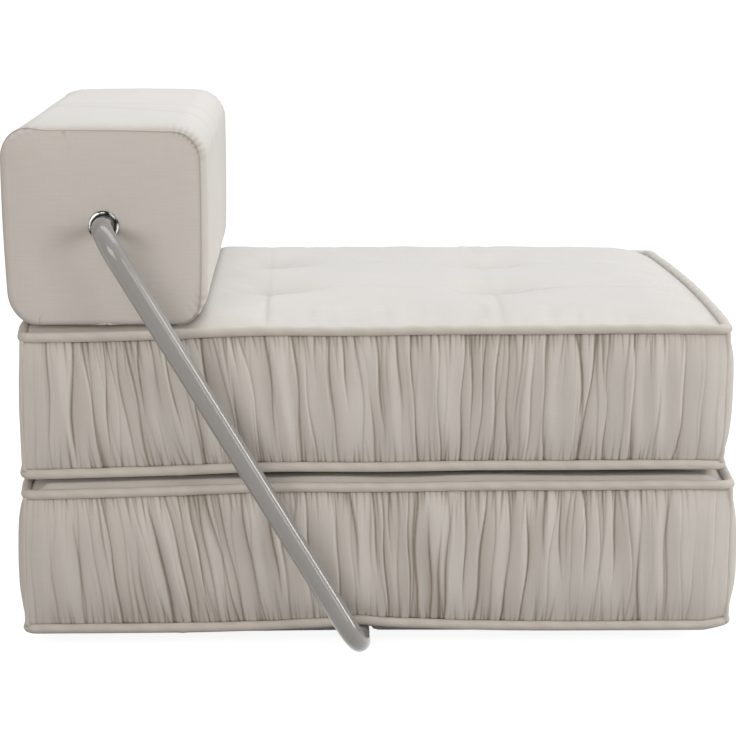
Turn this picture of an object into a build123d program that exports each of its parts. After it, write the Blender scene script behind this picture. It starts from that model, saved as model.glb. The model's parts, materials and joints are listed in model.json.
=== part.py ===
import os
from math import atan, atan2, ceil, cos, degrees, hypot, pi, sin

from build123d import *

# Modular sofa bed, millimetres, +X to the front, +Z up, on the floor at the middle of its box.
os.makedirs("parts", exist_ok=True)

# Mattresses: an opened bed of 900 by 2000 gives each one 900 by 1000
mattress_length = 1000
mattress_width = 900
lower_border_height = 190
upper_border_height = 180
welt_diameter = 14
floor_swell = 20
pressed_swell = 7.5
seat_swell = 16
edge_height = 7
edge_run = 60
seat_edge_run = 110
seat_gap = 0.3

# Gathered borders
pleat_pitch = 31
pleat_depth = 3.2
pleat_depth_middle = 2
border_bulge = 6
corner_draw = 130
pleat_swing_shares = (0.26, 0.14)
pleat_beat_shares = (2.3, 5.1)

# Tufts of the seat, in two rows of two
tuft_rear = 350
tuft_front = 680
tuft_spread = 300
tuft_radius = 90
tuft_core_radius = 45
tuft_depth = 13
tuft_overrun = 6
crown_overrun = 1
tie_diameter = 5
tie_hole_clearance = 0.2
tie_patch_diameter = 26
tie_patch_thickness = 2

# Bolster
bolster_depth = 288
bolster_height = 280
bolster_setback = 10
bolster_corner = 45
bolster_bow = 2.5
bolster_overhang = 20
bolster_gap = 0.3
wrap_thickness = 6
end_crown = 4
end_crown_inset = 23
end_round = 5
end_seam_width = 2.5
seat_press_margin = 26
seat_ramp = 66

# Tube frame
tube_diameter = 30
tube_wall = 2
bend_radius = 45
arm_gap = 50
bar_from_rear = 479
bar_clearance = 0.3
arch_half_span = 105
hump_clearance = 0.9
arm_stub = 48
spigot_wall = 3
spigot_clearance = 0.1
spigot_length = 90
grub_diameter = 5
grub_clearance = 0.1
grub_length = 6
grub_from_end = 22
grub_recess = 0.5

# Bolster fittings
liner_wall = 2
running_clearance = 0.05
foam_clearance = 0.1
eyelet_bore = 35
eyelet_outer = 43
eyelet_wall = 1
eyelet_flange = 2.5
eyelet_roll = 1.3
eyelet_clearance = 0.1
washer_outer = 47
washer_thickness = 1.5

# Places that follow from the sizes
half_width = mattress_width / 2
rear_x = -(mattress_length + bolster_overhang + border_bulge) / 2 + bolster_overhang
front_x = rear_x + mattress_length
middle_x = (rear_x + front_x) / 2
panel_length = mattress_length - 2 * welt_diameter
panel_width = mattress_width - 2 * welt_diameter
panel_rear = rear_x + welt_diameter
panel_front = front_x - welt_diameter
half_panel = panel_width / 2
welt_radius = welt_diameter / 2
lower_height = floor_swell + 2 * welt_diameter + lower_border_height + pressed_swell
upper_base = lower_height + seat_gap
seat_low = upper_base + pressed_swell + 2 * welt_diameter + upper_border_height
seat_top = seat_low + seat_swell
tube_radius = tube_diameter / 2
bar_x = rear_x + bar_from_rear
bar_z = tube_radius
bolster_x = rear_x - bolster_overhang + bolster_depth / 2
bolster_base = seat_low + bolster_gap
bolster_z = bolster_base + bolster_height / 2
half_bolster = half_width - bolster_setback
arm_y = half_width + arm_gap + tube_radius
panel_rise = tube_diameter + bar_clearance
welt_rise = panel_rise - floor_swell
tuft_places = [
    (rear_x + along, across)
    for along in (tuft_rear, tuft_front)
    for across in (-tuft_spread / 2, tuft_spread / 2)
]


def save(part, label):
    """One piece, one file."""
    part.label = label
    export_step(part, f"parts/{label}.step")


def arch_points(base, rise):
    """Seven points, in x and z, of a level line that humps over the floor bar in three equal arcs."""
    turn = 2 * atan(rise / arch_half_span)
    radius = arch_half_span / (2 * sin(turn))
    step = radius * sin(turn / 2)
    lift = radius * (1 - cos(turn / 2))
    places = [
        (-arch_half_span, 0),
        (step - arch_half_span, lift),
        (-arch_half_span / 2, rise / 2),
        (0, rise),
        (arch_half_span / 2, rise / 2),
        (arch_half_span - step, lift),
        (arch_half_span, 0),
    ]
    return [(bar_x + x, base + z) for x, z in places]


def draw_arch(points):
    """The three arcs of a hump, in whatever plane the points are."""
    for first in (0, 2, 4):
        ThreePointArc(*points[first : first + 3])


def crown_arc(low, high):
    """An arc that leaves the level crown at high and curls down to the panel's edge at low."""
    TangentArc(high, low, tangent=(low[0] - high[0], 0))


# Foam cores
def tie_tools(base, top):
    """Cylinders for the tuft ties: the cord and a patch at each end, as (radius, low, high)."""
    patch = tie_patch_diameter / 2
    return [
        (tie_diameter / 2, base + tie_patch_thickness, top - tie_patch_thickness),
        (patch, base, base + tie_patch_thickness),
        (patch, top - tie_patch_thickness, top),
    ]


def add_ties(base, top, clearance, mode):
    """The four ties, or their holes in the foam."""
    for radius, low, high in tie_tools(base, top):
        with BuildSketch(Plane.XY.offset(low)) as rounds:
            with Locations(*tuft_places):
                Circle(radius + clearance)
        extrude(rounds.sketch, amount=high - low, mode=mode)


def make_core(prefix, base, top, arched):
    """The foam block between the borders."""
    with BuildPart() as core:
        with BuildSketch(Plane.XZ):
            with BuildLine():
                if arched:
                    hump = arch_points(base, welt_rise)
                    Line((panel_rear, base), hump[0])
                    draw_arch(hump)
                    Line(hump[-1], (panel_front, base))
                else:
                    Line((panel_rear, base), (panel_front, base))
                Polyline(
                    (panel_front, base), (panel_front, top), (panel_rear, top), (panel_rear, base)
                )
            make_face()
        extrude(amount=half_panel, both=True)
        add_ties(base, top, tie_hole_clearance, Mode.SUBTRACT)
    save(core.part, f"{prefix}_core")

    with BuildPart() as ties:
        add_ties(base, top, 0, Mode.ADD)
    save(ties.part, f"{prefix}_tuft_ties")


# Padded panels
def keep_within_welt(low, high):
    """Cuts a panel to the rounded rectangle inside the welt."""
    with BuildSketch(Plane.XY.offset(low)) as plan:
        with Locations((middle_x, 0)):
            RectangleRounded(panel_length, panel_width, welt_radius)
    extrude(plan.sketch, amount=high - low, mode=Mode.INTERSECT)


def draw_flat_panel(edges, flat, edge, level, run):
    """Outline of a panel whose level face curls to its edges: flat is the side on the foam."""
    first, last = edges
    Line((first, flat), (first, edge))
    crown_arc((first, edge), (first + run, level))
    Line((first + run, level), (last - run, level))
    crown_arc((last, edge), (last - run, level))
    Polyline((last, edge), (last, flat), (first, flat))


def make_flat_panel(label, flat, level):
    """A panel that is pressed flat between the mattresses."""
    towards = 1 if level > flat else -1
    edge = flat + towards * edge_height
    with BuildPart() as panel:
        for plane, edges, mode in (
            (Plane.XZ, (panel_rear, panel_front), Mode.ADD),
            (Plane.YZ, (-half_panel, half_panel), Mode.INTERSECT),
        ):
            with BuildSketch(plane):
                with BuildLine():
                    draw_flat_panel(edges, flat, edge, level, edge_run)
                make_face()
            extrude(amount=mattress_length, both=True, mode=mode)
        keep_within_welt(min(flat, level), max(flat, level))
    save(panel.part, label)


def make_floor_panel(label, flat):
    """The underside of the lower mattress, which humps over the floor bar."""
    edge = flat - edge_height
    foam_hump = arch_points(flat, welt_rise)
    floor_hump = arch_points(0, panel_rise)
    with BuildPart() as panel:
        with BuildSketch(Plane.XZ):
            with BuildLine():
                Polyline((panel_rear, edge), (panel_rear, flat), foam_hump[0])
                draw_arch(foam_hump)
                Polyline(foam_hump[-1], (panel_front, flat), (panel_front, edge))
                crown_arc((panel_front, edge), (panel_front - edge_run, 0))
                Line((panel_front - edge_run, 0), floor_hump[-1])
                draw_arch(floor_hump)
                Line(floor_hump[0], (panel_rear + edge_run, 0))
                crown_arc((panel_rear, edge), (panel_rear + edge_run, 0))
            make_face()
        extrude(amount=half_panel, both=True)
        high = flat + panel_rise
        with BuildSketch(Plane.YZ):
            with BuildLine():
                draw_flat_panel((-half_panel, half_panel), high, edge, -crown_overrun, edge_run)
            make_face()
        extrude(amount=mattress_length, both=True, mode=Mode.INTERSECT)
        keep_within_welt(-crown_overrun, high)
    save(panel.part, label)


def cut_tuft(x, y):
    """A sewn tuft: a round hollow whose rim rolls over into the seat."""
    shoulder = tuft_depth * tuft_core_radius / tuft_radius
    floor = seat_top - tuft_depth
    bend = (tuft_core_radius, floor + tuft_depth - shoulder)
    plane = Plane(origin=(x, y, 0), x_dir=(1, 0, 0), z_dir=(0, -1, 0))
    with BuildSketch(plane) as profile:
        with BuildLine():
            hollow = TangentArc((0, floor), bend, tangent=(1, 0))
            rim = TangentArc(bend, (tuft_radius, seat_top), tangent=hollow % 1)
            Line(rim @ 1, (tuft_radius, seat_top + tuft_overrun))
            Polyline(
                (tuft_radius, seat_top + tuft_overrun), (0, seat_top + tuft_overrun), (0, floor)
            )
        make_face()
    revolve(profile.sketch, axis=Axis((x, y, 0), (0, 0, 1)), mode=Mode.SUBTRACT)


def make_seat_panel(label, flat):
    """The tufted seat: crowned, and pressed down to the welts under the bolster."""
    edge = flat + edge_height
    ramp_start = bolster_x + bolster_depth / 2 - bolster_corner + seat_press_margin
    ramp_end = ramp_start + seat_ramp
    ramp_middle = ((ramp_start + ramp_end) / 2, (seat_low + seat_top) / 2)
    crown_end = panel_front - seat_edge_run
    with BuildPart() as panel:
        with BuildSketch(Plane.XZ):
            with BuildLine():
                Line((panel_rear, flat), (panel_rear, edge))
                crown_arc((panel_rear, edge), (panel_rear + edge_run, seat_low))
                Line((panel_rear + edge_run, seat_low), (ramp_start, seat_low))
                TangentArc((ramp_start, seat_low), ramp_middle, tangent=(1, 0))
                TangentArc((ramp_end, seat_top), ramp_middle, tangent=(-1, 0))
                Line((ramp_end, seat_top), (crown_end, seat_top))
                crown_arc((panel_front, edge), (crown_end, seat_top))
                Polyline((panel_front, edge), (panel_front, flat), (panel_rear, flat))
            make_face()
        extrude(amount=half_panel, both=True)
        with BuildSketch(Plane.YZ):
            with BuildLine():
                crest = seat_top + crown_overrun
                draw_flat_panel((-half_panel, half_panel), flat, edge, crest, seat_edge_run)
            make_face()
        extrude(amount=mattress_length, both=True, mode=Mode.INTERSECT)
        keep_within_welt(flat, seat_top + crown_overrun)
        for x, y in tuft_places:
            cut_tuft(x, y)
    save(panel.part, label)


# Gathered borders
def pleat_marks(length):
    """Places of the pinches along a border, uneven as gathers are, from one end to the other."""
    count = ceil(length / pleat_pitch)
    widths = []
    for pleat in range(count):
        swing = sum(
            share * sin(beat * pleat + beat)
            for share, beat in zip(pleat_swing_shares, pleat_beat_shares)
        )
        widths.append(1 + swing)
    marks = [-length / 2]
    for width in widths:
        marks.append(marks[-1] + length * width / sum(widths))
    return marks


def drawn_in(place, length):
    """How much of the bulge a border has at a place: none at its corners, all of it further in."""
    depth = min(1, (length / 2 - abs(place)) / corner_draw)
    return depth * (2 - depth)


def make_border(label, base, height, length, plane, arched):
    """A gathered side: scalloped in plan, and bulging at mid-height."""
    marks = pleat_marks(length)
    levels = [
        (0, 0, pleat_depth),
        (height / 2, border_bulge, pleat_depth_middle),
        (height, 0, pleat_depth),
    ]
    with BuildPart() as border:
        for level, bulge, depth in levels:
            with BuildSketch(plane.offset(level)):
                with BuildLine():
                    for left, right in zip(marks, marks[1:]):
                        ends = [
                            (mark, welt_diameter - depth + bulge * drawn_in(mark, length))
                            for mark in (left, right)
                        ]
                        crest = (
                            (left + right) / 2,
                            (ends[0][1] + ends[1][1]) / 2 + depth,
                        )
                        ThreePointArc(ends[0], crest, ends[1])
                    Polyline(
                        (marks[-1], welt_diameter - depth), (marks[-1], 0), (marks[0], 0),
                        (marks[0], welt_diameter - depth)
                    )
                make_face()
        loft(ruled=True)
        if arched:
            hump = arch_points(base + hump_clearance, welt_rise)
            with BuildSketch(Plane.XZ):
                with BuildLine():
                    draw_arch(hump)
                    under = base - welt_diameter
                    Polyline(hump[-1], (hump[-1][0], under), (hump[0][0], under), hump[0])
                make_face()
            extrude(amount=mattress_width, both=True, mode=Mode.SUBTRACT)
    save(border.part, label)


def make_borders(prefix, base, height, arched):
    """The four sides of a mattress."""
    sides = {
        "near": (panel_length, (middle_x, -half_panel, base), (-1, 0, 0)),
        "far": (panel_length, (middle_x, half_panel, base), (1, 0, 0)),
        "front": (panel_width, (panel_front, 0, base), (0, -1, 0)),
        "rear": (panel_width, (panel_rear, 0, base), (0, 1, 0)),
    }
    for side, (length, origin, along) in sides.items():
        plane = Plane(origin=origin, x_dir=along, z_dir=(0, 0, 1))
        over_bar = arched and side in ("near", "far")
        make_border(f"{prefix}_border_{side}", base, height, length, plane, over_bar)


# Welts
def make_welt(label, level, arched):
    """A round welt on the mattress's edge. Half of it is swept, and mirrored across the middle."""
    side = half_width - welt_radius
    front = front_x - welt_radius
    rear = rear_x + welt_radius
    turn = welt_diameter
    chord = turn * (1 - cos(pi / 4))
    with BuildPart() as welt:
        with BuildLine() as path:
            Line((front, 0, level), (front, turn - side, level))
            ThreePointArc(
                (front, turn - side, level), (front - chord, chord - side, level),
                (front - turn, -side, level)
            )
            if arched:
                hump = [(x, -side, z) for x, z in arch_points(level, welt_rise)]
                Line((front - turn, -side, level), hump[-1])
                draw_arch(hump[::-1])
                Line(hump[0], (rear + turn, -side, level))
            else:
                Line((front - turn, -side, level), (rear + turn, -side, level))
            ThreePointArc(
                (rear + turn, -side, level), (rear + chord, chord - side, level),
                (rear, turn - side, level)
            )
            Line((rear, turn - side, level), (rear, 0, level))
        with BuildSketch(Plane(origin=(front, 0, level), z_dir=(0, -1, 0))):
            Circle(welt_radius)
        sweep(path=path.line)
        mirror(about=Plane.XZ)
    save(welt.part, label)


def make_corner_welts(label, base, height):
    """The upright welts at the four corners."""
    with BuildPart() as corners:
        with BuildSketch(Plane.XY.offset(base)):
            with Locations((middle_x, 0)):
                with GridLocations(
                    mattress_length - welt_diameter, mattress_width - welt_diameter, 2, 2
                ):
                    Circle(welt_radius)
        extrude(amount=height)
    save(corners.part, label)


def make_mattress(prefix, low_welt, height, arched):
    """Foam, welts and gathered sides of one mattress, from the underside of its lowest welt up."""
    foam = low_welt + welt_diameter
    make_core(prefix, foam, foam + height, arched)
    make_borders(prefix, foam, height, arched)
    make_welt(f"{prefix}_bottom_welt", low_welt + welt_radius, arched)
    make_welt(f"{prefix}_top_welt", foam + height + welt_radius, False)
    make_corner_welts(f"{prefix}_corner_welts", foam, height)
    return foam, foam + height


# Tube frame
arm_lean = atan2(bolster_x - bar_x, bolster_z - bar_z)
arm_length = hypot(bolster_x - bar_x, bolster_z - bar_z)
straight_end = arm_y - bend_radius - arm_stub


def make_arm(label, side):
    """One bent tube: out of the bolster, down past the mattresses and in under them."""
    inner = (bolster_x, side * straight_end, bolster_z)
    with BuildPart() as arm:
        with BuildLine() as path:
            FilletPolyline(
                inner, (bolster_x, side * arm_y, bolster_z), (bar_x, side * arm_y, bar_z),
                (bar_x, side * straight_end, bar_z), radius=bend_radius
            )
        with BuildSketch(Plane(origin=inner, z_dir=(0, side, 0))):
            Circle(tube_radius)
            Circle(tube_radius - tube_wall, mode=Mode.SUBTRACT)
        sweep(path=path.line)
    save(arm.part, label)


def grub_places():
    """Where the grub screws stand along Y, on both straight tubes."""
    place = straight_end - grub_from_end
    return (-place, place)


def cut_grub_holes(x, z):
    """Threaded holes in the rear wall of a straight tube."""
    for y in grub_places():
        with BuildSketch(Plane(origin=(x, y, z), z_dir=(-1, 0, 0))) as hole:
            Circle(grub_diameter / 2 + grub_clearance)
        extrude(hole.sketch, amount=tube_diameter, mode=Mode.SUBTRACT)


def make_straight_tube(label, x, z):
    """The straight tube between the two arms."""
    with BuildPart() as tube:
        with BuildSketch(Plane(origin=(x, 0, z), z_dir=(0, 1, 0))):
            Circle(tube_radius)
            Circle(tube_radius - tube_wall, mode=Mode.SUBTRACT)
        extrude(amount=straight_end, both=True)
        cut_grub_holes(x, z)
    save(tube.part, label)


def make_spigots(label, x, z):
    """Sleeves inside the tubes, across the joints between the straight tube and the arms."""
    outer = tube_radius - tube_wall - spigot_clearance
    with BuildPart() as spigots:
        for side in (-1, 1):
            middle = Plane(origin=(x, side * straight_end, z), z_dir=(0, 1, 0))
            with BuildSketch(middle):
                Circle(outer)
                Circle(outer - spigot_wall, mode=Mode.SUBTRACT)
            extrude(amount=spigot_length / 2, both=True)
        cut_grub_holes(x, z)
    save(spigots.part, label)


def make_grub_screws(label):
    """The screws, flush with the tubes."""
    with BuildPart() as screws:
        for x, z in ((bar_x, bar_z), (bolster_x, bolster_z)):
            for y in grub_places():
                start = x - tube_radius + grub_length + grub_recess
                with BuildSketch(Plane(origin=(start, y, z), z_dir=(-1, 0, 0))):
                    Circle(grub_diameter / 2)
                extrude(amount=grub_length)
    save(screws.part, label)


# Bolster
def draw_section(inset):
    """The bolster's rounded square, bowed a little on all sides but the one that it lies on."""
    half_depth = bolster_depth / 2 - inset
    half_height = bolster_height / 2 - inset
    shoulder = bolster_bow
    corners = [
        (-half_depth + shoulder, -half_height),
        (half_depth - shoulder, -half_height),
        (half_depth - shoulder, half_height - shoulder),
        (-half_depth + shoulder, half_height - shoulder),
    ]
    with BuildLine() as outline:
        Line(corners[0], corners[1])
        ThreePointArc(corners[1], (half_depth, -shoulder / 2), corners[2])
        ThreePointArc(corners[2], (0, half_height), corners[3])
        ThreePointArc(corners[3], (-half_depth, -shoulder / 2), corners[0])
    make_face(outline.edges())
    fillet(vertices(), radius=bolster_corner - inset)


def bolster_plane(y):
    """A plane across the bolster, with its x to the front and its y up."""
    return Plane(origin=(bolster_x, y, bolster_z), x_dir=(1, 0, 0), z_dir=(0, -1, 0))


wrap_half = half_bolster - wrap_thickness
liner_inner = tube_radius + running_clearance
liner_outer = liner_inner + liner_wall
barrel_outer = eyelet_bore / 2 + eyelet_wall


def make_bolster():
    """Foam, wrap and liner, all as long as the bolster between its end panels."""
    with BuildPart() as foam:
        with BuildSketch(bolster_plane(0)):
            draw_section(wrap_thickness)
            Circle(liner_outer + foam_clearance, mode=Mode.SUBTRACT)
        extrude(amount=wrap_half, both=True)
        for side in (-1, 1):
            with BuildSketch(bolster_plane(side * (wrap_half - washer_thickness))):
                Circle(washer_outer / 2 + foam_clearance)
            extrude(amount=-side * washer_thickness, mode=Mode.SUBTRACT)
    save(foam.part, "bolster_foam")

    with BuildPart() as wrap:
        with BuildSketch(bolster_plane(0)):
            draw_section(0)
        extrude(amount=wrap_half, both=True)
        fillet(wrap.faces().filter_by(Plane.XZ).edges(), radius=end_round)
        with BuildSketch(bolster_plane(0)):
            draw_section(wrap_thickness)
        extrude(amount=wrap_half, both=True, mode=Mode.SUBTRACT)
    save(wrap.part, "bolster_wrap")

    with BuildPart() as liner:
        with BuildSketch(bolster_plane(0)):
            Circle(liner_outer)
            Circle(liner_inner, mode=Mode.SUBTRACT)
        extrude(amount=wrap_half - washer_thickness, both=True)
    save(liner.part, "bolster_liner")


def make_end_panel(label, side):
    """The crowned end of the bolster, with the eyelet's hole."""
    with BuildPart() as end:
        inset = end_round + end_seam_width
        with BuildSketch(bolster_plane(side * wrap_half)):
            draw_section(inset)
        extrude(amount=-side * wrap_thickness)
        with BuildSketch(bolster_plane(side * half_bolster)):
            draw_section(inset + end_seam_width)
        with BuildSketch(bolster_plane(side * (half_bolster + end_crown))):
            draw_section(end_crown_inset)
        loft()
        with BuildSketch(bolster_plane(0)):
            Circle(barrel_outer + eyelet_clearance)
        extrude(amount=-side * (half_bolster + 2 * end_crown), mode=Mode.SUBTRACT)
    save(end.part, label)


def make_end_seams(label):
    """The sewn ridge round each end."""
    with BuildPart() as seams:
        for side in (-1, 1):
            start = side * wrap_half
            with BuildSketch(bolster_plane(start)):
                draw_section(end_round)
            extrude(amount=-side * wrap_thickness)
            with BuildSketch(bolster_plane(start)):
                draw_section(end_round + end_seam_width)
            extrude(amount=-side * wrap_thickness, mode=Mode.SUBTRACT)
    save(seams.part, label)


def make_eyelet(label, side):
    """A pressed ring: a rolled flange on the end panel, and a barrel through it."""
    face = half_bolster + end_crown
    bore = eyelet_bore / 2
    rim = eyelet_outer / 2
    plane = Plane(origin=(bolster_x, 0, bolster_z), x_dir=(1, 0, 0), z_dir=(0, 0, 1))
    with BuildPart() as eyelet:
        with BuildSketch(plane):
            with BuildLine():
                back = (barrel_outer, side * (wrap_half - washer_thickness))
                Polyline(
                    (rim, side * face), (barrel_outer, side * face), back,
                    (bore, side * (wrap_half - washer_thickness)), (bore, side * face),
                    (bore + eyelet_roll, side * (face + eyelet_flange)),
                    (rim - eyelet_roll, side * (face + eyelet_flange)), (rim, side * face)
                )
            make_face()
        revolve(axis=Axis((bolster_x, 0, bolster_z), (0, 1, 0)))
    save(eyelet.part, label)


def make_washers(label):
    """The back rings that the eyelets are pressed into."""
    with BuildPart() as washers:
        for side in (-1, 1):
            with BuildSketch(bolster_plane(side * wrap_half)):
                Circle(washer_outer / 2)
                Circle(barrel_outer + eyelet_clearance, mode=Mode.SUBTRACT)
            extrude(amount=side * washer_thickness)
    save(washers.part, label)


lower_foam, lower_foam_top = make_mattress("lower", floor_swell, lower_border_height, True)
make_floor_panel("lower_bottom_panel", lower_foam)
make_flat_panel("lower_top_panel", lower_foam_top, lower_height)

upper_low_welt = upper_base + pressed_swell
upper_foam, upper_foam_top = make_mattress("upper", upper_low_welt, upper_border_height, False)
make_flat_panel("upper_bottom_panel", upper_foam, upper_base)
make_seat_panel("upper_top_panel", upper_foam_top)

for side_name, side_sign in (("near", -1), ("far", 1)):
    make_arm(f"arm_{side_name}", side_sign)
    make_end_panel(f"bolster_end_{side_name}", side_sign)
    make_eyelet(f"eyelet_{side_name}", side_sign)
make_straight_tube("floor_bar", bar_x, bar_z)
make_straight_tube("cross_tube", bolster_x, bolster_z)
make_spigots("floor_spigots", bar_x, bar_z)
make_spigots("cross_spigots", bolster_x, bolster_z)
make_grub_screws("frame_grub_screws")
make_bolster()
make_end_seams("bolster_end_seams")
make_washers("eyelet_washers")

print("arm leans", round(degrees(arm_lean), 2), "degrees over", round(arm_length, 1))
print("seat from", seat_low, "to", seat_top, "bolster axis at", bolster_x, bolster_z)
print("floor bar at", bar_x, bar_z)
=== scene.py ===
# %% [markdown]
# # A modular sofa bed, dressed for its picture
# Two boxed mattresses lie on each other and a square bolster leans on a bent steel tube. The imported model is
# the fixed frame: it says where every piece is, in metres, with the floor at zero. This lesson adds what the
# eye sees, which is gathered cloth, padded panels, round welts, satin paint and a chrome ring.

# %% Load the frame
import json
import math
import random
from functools import partial

import bmesh
import bpy
import numpy as np
from mathutils import Matrix, Vector


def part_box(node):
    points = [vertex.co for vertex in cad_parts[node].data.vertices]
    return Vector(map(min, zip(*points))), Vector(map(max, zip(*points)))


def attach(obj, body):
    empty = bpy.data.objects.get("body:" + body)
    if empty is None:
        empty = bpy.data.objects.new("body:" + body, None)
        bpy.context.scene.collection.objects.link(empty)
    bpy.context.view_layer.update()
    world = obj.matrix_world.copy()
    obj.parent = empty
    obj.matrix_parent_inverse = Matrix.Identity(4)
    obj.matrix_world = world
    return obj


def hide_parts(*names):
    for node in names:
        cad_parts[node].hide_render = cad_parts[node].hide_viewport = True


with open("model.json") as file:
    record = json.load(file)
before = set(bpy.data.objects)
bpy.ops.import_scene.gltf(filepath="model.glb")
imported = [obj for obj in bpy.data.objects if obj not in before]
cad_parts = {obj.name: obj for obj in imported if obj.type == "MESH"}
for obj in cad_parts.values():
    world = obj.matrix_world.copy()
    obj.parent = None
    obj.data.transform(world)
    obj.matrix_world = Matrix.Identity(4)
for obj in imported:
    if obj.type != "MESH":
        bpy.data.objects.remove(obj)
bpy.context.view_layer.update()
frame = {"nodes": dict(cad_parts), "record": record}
scene = bpy.context.scene
print("nodes in the frame:", len(frame["nodes"]))

# %% [markdown]
# ## Where things are
# Nothing is fitted by eye. Each mattress gives the corners of its foam, the thickness of its welts and the
# levels of its padded faces, and every new piece is worked out from those. MM keeps small sizes readable.

# %% Read the places
MM = 0.001


class Mattress:
    """The foam, seams and levels of one mattress, as the frame has them."""

    def __init__(self, prefix):
        self.prefix = prefix
        self.body = prefix + "_mattress"
        low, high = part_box(prefix + "_core")
        self.rear, self.front = low.x, high.x
        self.middle = (low.x + high.x) / 2
        self.side = high.y
        self.base, self.top = low.z, high.z
        welt_low, welt_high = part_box(prefix + "_top_welt")
        self.welt = (welt_high.z - welt_low.z) / 2
        self.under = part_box(prefix + "_bottom_panel")[0].z
        self.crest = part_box(prefix + "_top_panel")[1].z
        self.over_bar = prefix == "lower"


lower, upper = Mattress("lower"), Mattress("upper")
bar_low, bar_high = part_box("floor_bar")
bar_x = (bar_low.x + bar_high.x) / 2
tube_radius = (bar_high.z - bar_low.z) / 2
print("foam of the seat from", round(upper.base, 4), "to", round(upper.top, 4))

# %% [markdown]
# ## The camera
# The photograph looks along +Y from a little above the seat, with a long lens. Its place was worked out from
# points whose real place is known, such as the corners of the seat and the centre of the eyelet.

# %% Set the camera
camera_place = (-0.0847, -4.1543, 1.0065)
camera_dip = 9.266
camera_turn = 1.277
camera_lens = 131.13

camera_data = bpy.data.cameras.new("camera")
camera_data.lens = camera_lens
camera_data.sensor_width = 36
camera = bpy.data.objects.new("camera", camera_data)
camera.location = camera_place
camera.rotation_euler = (math.radians(90 - camera_dip), 0, math.radians(-camera_turn))
scene.collection.objects.link(camera)
scene.camera = camera
print("camera", camera_place)

# %% [markdown]
# ## Shader sums written as sums
# A material is a graph of nodes, but a weave is easier to read as a formula. Wire wraps a socket, so that
# `1 - mask` adds a Math node and gives the Wire of its output.

# %% A socket that can be added and multiplied
class Wire:
    """The output of a node, for use in a sum."""

    def __init__(self, finish, socket):
        self.finish = finish
        self.socket = socket

    def _maths(self, operation, first, second):
        return self.finish.node("ShaderNodeMath", {"operation": operation}, {0: first, 1: second})

    def __add__(self, other):
        return self._maths("ADD", self, other)

    def __sub__(self, other):
        return self._maths("SUBTRACT", self, other)

    def __rsub__(self, other):
        return self._maths("SUBTRACT", other, self)

    def __mul__(self, other):
        return self._maths("MULTIPLY", self, other)

    __radd__ = __add__
    __rmul__ = __mul__

    def sine(self):
        return self._maths("SINE", self, 0)


print("a Wire can be added, subtracted and multiplied")

# %% [markdown]
# ## Nodes and finishes
# A node needs its kind, its settings and what goes into its sockets. One method takes all three, so a finish
# reads from top to bottom, like a recipe. The same method serves the world at the end of the lesson.

# %% Trees of nodes
class Graph:
    """A tree of nodes, with one method that makes any of them."""

    def __init__(self, tree):
        self.tree = tree

    def node(self, kind, settings, sockets, output=0):
        made = self.tree.nodes.new(kind)
        for setting, value in settings.items():
            if setting == "stops":
                for element, (place, colour) in zip(made.color_ramp.elements, value):
                    element.position = place
                    element.color = colour
            else:
                setattr(made, setting, value)
        for socket, value in sockets.items():
            if isinstance(value, Wire):
                self.tree.links.new(value.socket, made.inputs[socket])
            else:
                made.inputs[socket].default_value = value
        return Wire(self, made.outputs[output])

    def mix(self, factor, first, second):
        """Two colours, mixed by a number."""
        return self.node("ShaderNodeMix", {"data_type": "RGBA"}, {0: factor, 6: first, 7: second}, 2)

    def split(self, vector):
        """The two first coordinates of a vector."""
        return [self.node("ShaderNodeSeparateXYZ", {}, {0: vector}, place) for place in (0, 1)]

    def stretch(self, vector, scale):
        return self.node("ShaderNodeVectorMath", {"operation": "MULTIPLY"}, {0: vector, 1: scale})

    def noise(self, vector, scale, detail=2.0):
        return self.node("ShaderNodeTexNoise", {}, {"Vector": vector, "Scale": scale, "Detail": detail})

    def seen_rays(self):
        """One for a ray that shows the background itself, past the object or in metal and glass."""
        kinds = ("Is Camera Ray", "Is Glossy Ray", "Is Transmission Ray")
        rays = [self.node("ShaderNodeLightPath", {}, {}, kind) for kind in kinds]
        return rays[0] + rays[1] + rays[2]


class Finish(Graph):
    """A material and the nodes that make it."""

    def __init__(self, name, **constants):
        self.material = bpy.data.materials.new(name)
        self.material.use_nodes = True
        super().__init__(self.material.node_tree)
        self.shader = self.tree.nodes["Principled BSDF"]
        for socket, value in constants.items():
            self.shader.inputs[socket.replace("_", " ")].default_value = value

    def feed(self, socket, wire):
        self.tree.links.new(wire.socket, self.shader.inputs[socket])

    def bump(self, height, distance, strength=1.0):
        bumped = self.node(
            "ShaderNodeBump", {}, {"Height": height, "Distance": distance, "Strength": strength}
        )
        self.feed("Normal", bumped)


print("shader helpers ready")

# %% [markdown]
# ## The cloth
# The cover is a plain woven natural cloth. Its threads swell now and then into slubs, which show as short
# pale and dark dashes along the weave. Deep in its folds and gaps, painted shade makes it darker and warmer.
# The weave follows the cloth's own UV map, which every soft piece gets in metres, so a gathered side
# and a flat panel have threads of one size. A shade attribute of each piece says how much painted shade a
# point gets, from how deep in a gather or a gap it lies. An image of cloth would be quicker, but it would
# repeat, and the threads and slubs are easy to write as sums of sines and noises.

# %% Make the cloth finishes
THREAD = 0.9 * MM
CLOTH_UV = "cloth"
FOLD_SHADE = "fold_shade"
slub_long, slub_thin = 22, 620
# Shares of the base colour that the painted shade keeps in the deepest folds.
shade_shares = (0.44, 0.39, 0.34)


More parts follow.
